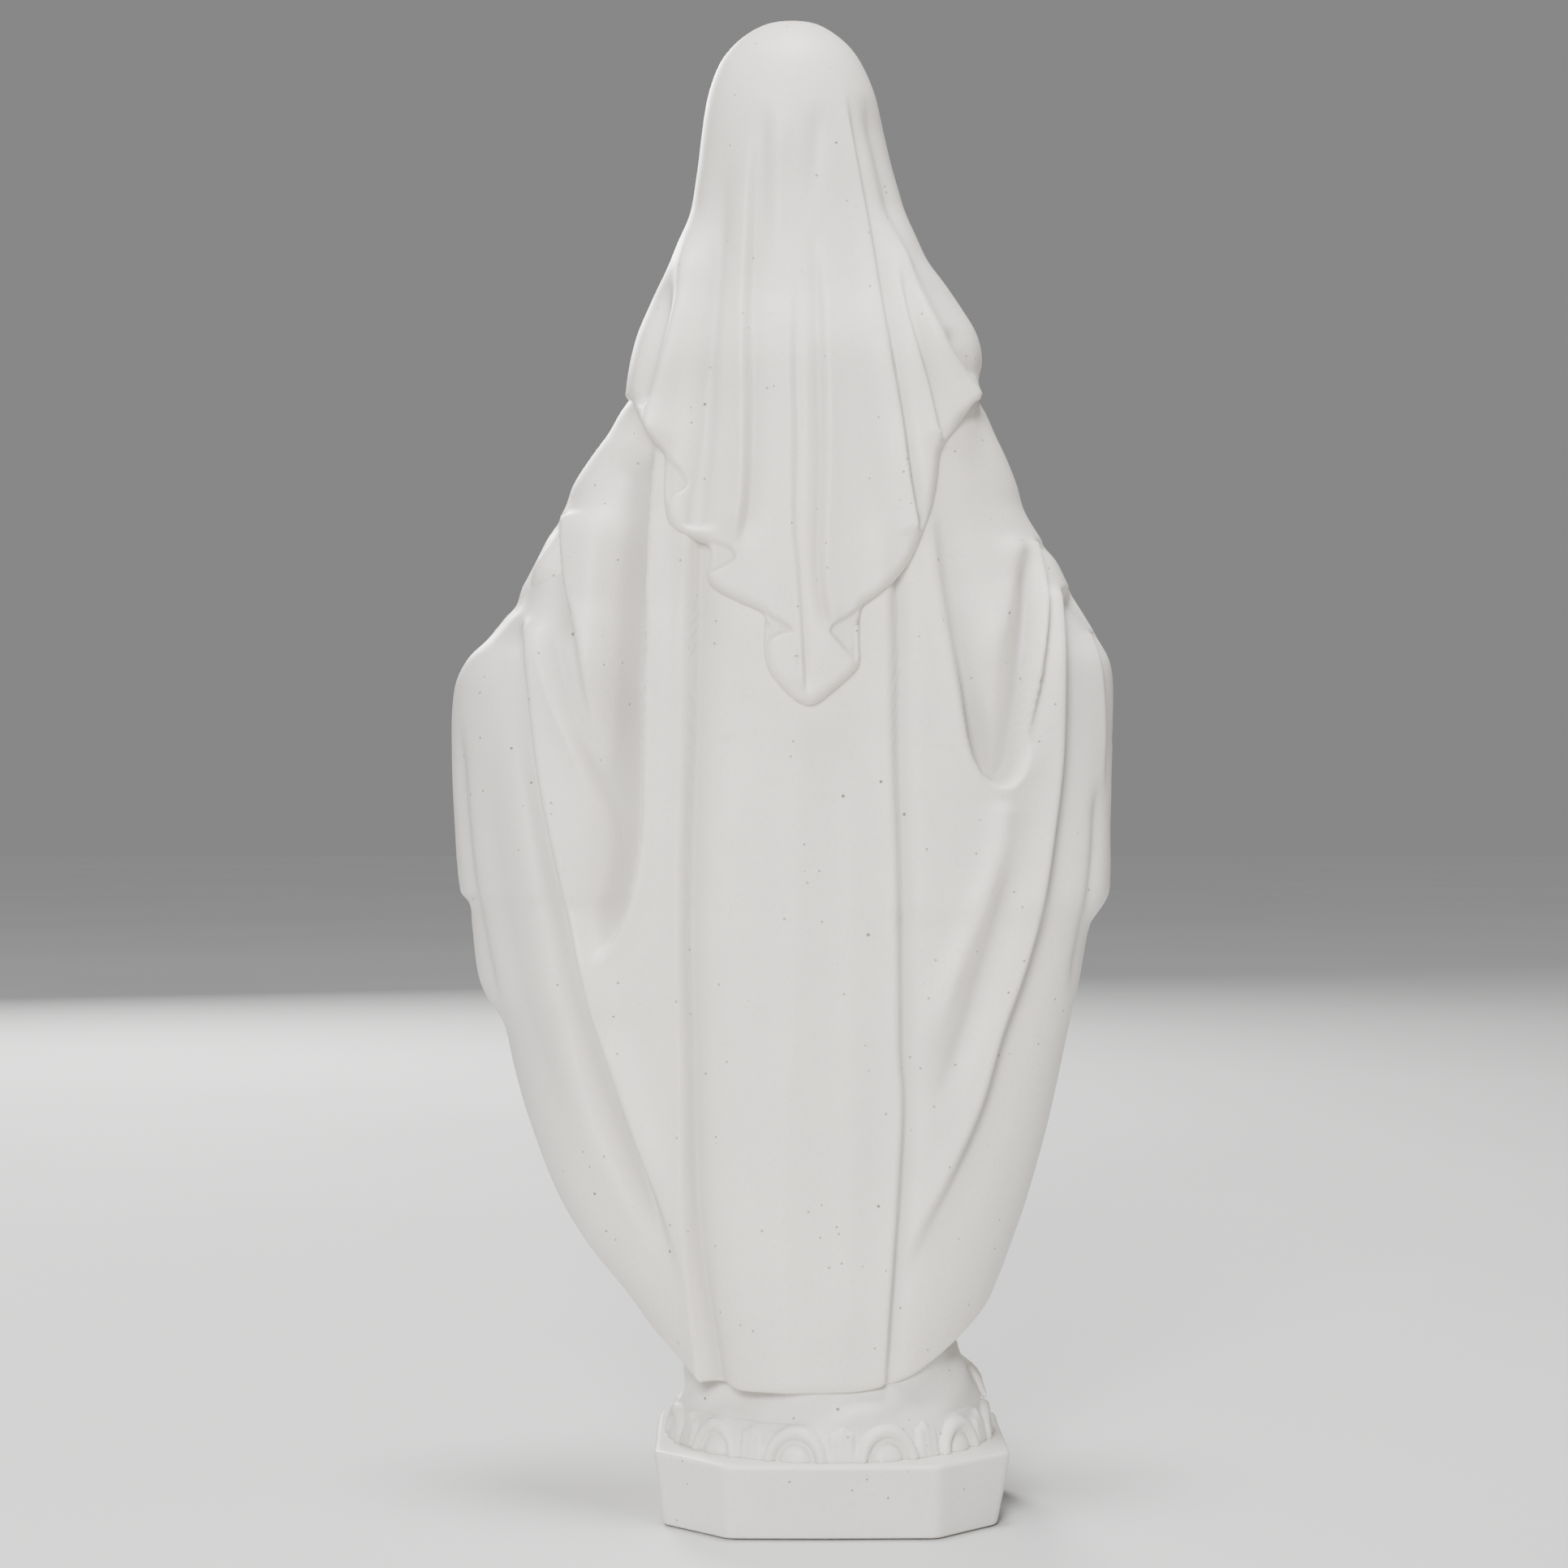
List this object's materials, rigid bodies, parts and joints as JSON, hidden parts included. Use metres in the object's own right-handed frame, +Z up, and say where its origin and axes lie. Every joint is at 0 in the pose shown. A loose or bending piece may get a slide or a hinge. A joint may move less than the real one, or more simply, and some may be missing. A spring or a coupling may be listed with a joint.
{
  "type": "madonna statue",
  "caption": "Standing veiled madonna with spread mantle and lowered open hands, cast in bonded marble, on a round mound and chamfered plinth.",
  "frame": {"origin": "centre of the underside of the felt, where the statue rests", "axes": "+Z up to the crown, -Y the way the figure faces, +X towards the figure's left hand"},
  "size_m": [0.1357, 0.069, 0.3],
  "materials": {
    "marble_base": "satin, fine marble dust bound in resin",
    "marble_figure": "satin, fine marble dust bound in resin",
    "felt": "matte wool felt",
    "steel": "zinc plated"
  },
  "bodies": {
    "root": {"base_felt": "felt", "plinth": "marble_base", "mound": "marble_base", "scallop_border": "marble_base", "serpent": "marble_figure", "left_foot": "marble_figure", "right_foot": "marble_figure", "gown": "marble_figure", "sash": "marble_figure", "left_sleeve": "marble_figure", "right_sleeve": "marble_figure", "left_hand": "marble_figure", "right_hand": "marble_figure", "mantle": "marble_figure", "left_mantle_fall": "marble_figure", "right_mantle_fall": "marble_figure", "head": "marble_figure", "hair": "marble_figure", "veil": "marble_figure", "neck_pin": "steel", "left_wrist_pin": "steel", "right_wrist_pin": "steel", "tie_rod": "steel", "tie_washer": "steel", "tie_nut": "steel"}
  },
  "joints": []
}
